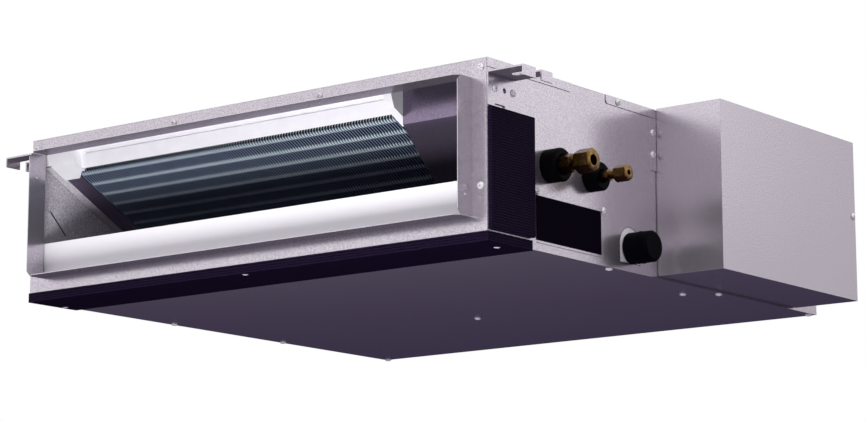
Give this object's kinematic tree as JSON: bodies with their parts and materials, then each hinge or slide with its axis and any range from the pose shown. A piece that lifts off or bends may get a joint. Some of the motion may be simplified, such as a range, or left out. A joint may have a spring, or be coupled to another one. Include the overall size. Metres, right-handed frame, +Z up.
{
  "type": "ducted air conditioner indoor unit",
  "caption": "Slim ceiling-hung ducted indoor unit: sheet casing with a front outlet collar, leaning finned coil, drain pan, scroll fans, rear filters, flare fittings and a side control box.",
  "frame": {"origin": "centre of the four suspension slots, on the underside of the hanger shelves", "axes": "+X towards the pipe side and control box, -Y out of the air outlet, +Z up"},
  "size_m": [0.8412, 0.73, 0.2047],
  "materials": {
    "galvanised_sheet": "galvanised, satin",
    "black_foam": "closed-cell foam, matt",
    "black_plastic": "moulded, matt",
    "white_foam": "moulded bead foam",
    "white_plastic": "moulded, satin",
    "grey_plastic": "moulded, satin",
    "rubber": "moulded, matt",
    "brass": "machined",
    "copper": "drawn copper tube",
    "fin_aluminium": "coated foil",
    "steel": "zinc plated",
    "board": "glass-epoxy board",
    "net": "woven net"
  },
  "bodies": {
    "housing": {"bottom_foam_strip": "black_foam", "bottom_panel": "galvanised_sheet", "bottom_screws": "steel", "casing_screws": "steel", "circuit_board": "board", "coil_end_plate_left": "galvanised_sheet", "coil_end_plate_right": "galvanised_sheet", "coil_fins": "fin_aluminium", "coil_support": "galvanised_sheet", "coil_tubes": "copper", "control_box_base": "galvanised_sheet", "control_box_cover": "galvanised_sheet", "drain_pan": "white_foam", "drain_socket": "white_plastic", "fan_casing_lower_left": "grey_plastic", "fan_casing_lower_right": "grey_plastic", "fan_casing_upper_left": "grey_plastic", "fan_casing_upper_right": "grey_plastic", "gas_flare_nut": "brass", "gas_header": "copper", "gas_pipe": "copper", "gas_pipe_collar": "rubber", "gas_union": "brass", "hanger_front_left": "galvanised_sheet", "hanger_front_right": "galvanised_sheet", "hanger_rear_left": "galvanised_sheet", "hanger_rear_right": "galvanised_sheet", "hanger_screws": "steel", "inlet_panel": "galvanised_sheet", "left_air_guide": "galvanised_sheet", "left_side_panel": "galvanised_sheet", "liquid_flare_nut": "brass", "liquid_header": "copper", "liquid_pipe": "copper", "liquid_pipe_collar": "rubber", "liquid_union": "brass", "motor_body": "galvanised_sheet", "motor_bracket": "galvanised_sheet", "motor_rings": "rubber", "motor_straps": "galvanised_sheet", "outlet_panel": "galvanised_sheet", "partition_plate": "galvanised_sheet", "pipe_cover": "galvanised_sheet", "return_bends": "copper", "right_side_panel": "galvanised_sheet", "side_foam_pad": "black_foam", "side_screws": "steel", "terminal_block": "grey_plastic", "top_insulation": "white_foam", "top_insulation_ends": "white_foam", "top_panel": "galvanised_sheet", "window_cover": "black_plastic"},
    "fan_rotor": {"fan_wheel_left": "grey_plastic", "fan_wheel_right": "grey_plastic", "motor_shaft": "steel"},
    "filter_left": {"filter_frame_left": "grey_plastic", "filter_mesh_left": "net"},
    "filter_right": {"filter_frame_right": "grey_plastic", "filter_mesh_right": "net"},
    "drain_cap": {"drain_cap": "rubber"}
  },
  "joints": [
    {"name": "fan_spin", "type": "hinge", "parent": "housing", "child": "fan_rotor", "pos_m": [0, 0.152, -0.084], "axis": [1, 0, 0], "continuous": true},
    {"name": "filter_left_pull", "type": "slide", "parent": "housing", "child": "filter_left", "axis": [0, 1, 0], "range_m": [0, 0.06]},
    {"name": "filter_right_pull", "type": "slide", "parent": "housing", "child": "filter_right", "axis": [0, 1, 0], "range_m": [0, 0.06]},
    {"name": "drain_cap_pull", "type": "slide", "parent": "housing", "child": "drain_cap", "axis": [1, 0, 0], "range_m": [0, 0.04]}
  ]
}
